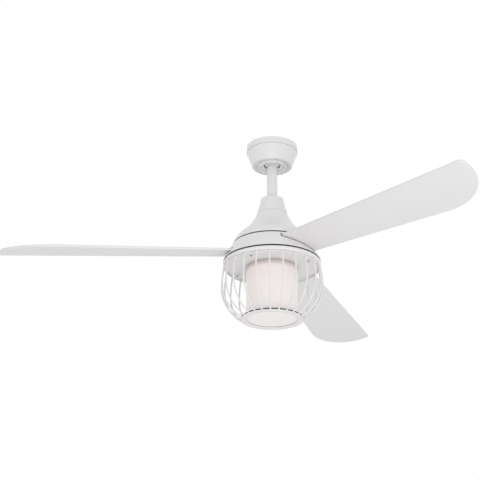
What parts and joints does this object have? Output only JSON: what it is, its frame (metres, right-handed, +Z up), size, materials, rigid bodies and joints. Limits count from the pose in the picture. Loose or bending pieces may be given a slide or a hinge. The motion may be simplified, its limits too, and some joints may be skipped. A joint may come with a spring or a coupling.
{
  "type": "ceiling fan with light",
  "caption": "Short-rod ceiling fan: tapered canopy, bell housing, turning band with pitched blades, and a light with an opal glass drum in a wire cage.",
  "frame": {"origin": "centre of the hanger bracket's slots, on the face that lies against the ceiling", "axes": "+Z up into the ceiling, along the rod and the motor shaft; one blade points along -X; the bracket's slots lie along X"},
  "size_m": [1.049, 1.159, 0.466],
  "materials": {
    "white_metal": "satin white powder coat",
    "white_blade": "satin white",
    "white_nylon": "moulded nylon",
    "zinc_steel": "zinc plated",
    "cast_alloy": "as cast",
    "laminated_steel": "varnished laminations",
    "copper": "enamelled copper wire",
    "opal_glass": "satin opal",
    "lamp_white": "frosted",
    "porcelain": "glazed porcelain",
    "dark_rubber": "matt",
    "block_plastic": "moulded"
  },
  "bodies": {
    "ceiling_mount": {"hanger_bracket": "zinc_steel", "canopy": "white_metal", "canopy_ring": "white_metal", "canopy_screws": "zinc_steel", "terminal_block": "block_plastic"},
    "fan_body": {"hanger_ball": "white_nylon", "hanger_pin": "zinc_steel", "ball_set_screw": "zinc_steel", "downrod": "white_metal", "coupling_cover": "white_metal", "motor_yoke": "cast_alloy", "clevis_pin": "zinc_steel", "clevis_clip": "zinc_steel", "yoke_set_screws": "zinc_steel", "top_housing": "white_metal", "housing_screws": "zinc_steel", "motor_shaft": "zinc_steel", "stator_core": "laminated_steel", "stator_windings": "copper", "light_plate": "zinc_steel", "plate_grub_screw": "zinc_steel", "motor_capacitor": "block_plastic", "light_pan": "white_metal", "pan_screws": "zinc_steel", "lampholder": "porcelain", "shade_ring": "block_plastic", "bulb_cap": "zinc_steel", "lamp_bulb": "lamp_white", "glass_shade": "opal_glass", "shade_cushion": "dark_rubber", "cage_top_ring": "white_metal", "cage_wires": "white_metal", "cage_bottom_ring": "white_metal"},
    "rotor": {"motor_case_bottom": "cast_alloy", "motor_case_top": "cast_alloy", "case_screws": "zinc_steel", "rotor_ring": "laminated_steel", "lower_bearing": "zinc_steel", "upper_bearing": "zinc_steel", "blade_hub": "cast_alloy", "hub_screws": "zinc_steel", "rotor_band": "white_metal", "band_screws": "zinc_steel", "blade_1": "white_blade", "blade_2": "white_blade", "blade_3": "white_blade", "blade_screws": "zinc_steel"}
  },
  "joints": [
    {"name": "ball_tilt", "type": "hinge", "parent": "ceiling_mount", "child": "fan_body", "pos_m": [0, 0, -0.027], "axis": [1, 0, 0], "range_deg": [-14, 14]},
    {"name": "rotor_spin", "type": "hinge", "parent": "fan_body", "child": "rotor", "pos_m": [0, 0, -0.291], "axis": [0, 0, 1], "continuous": true}
  ]
}
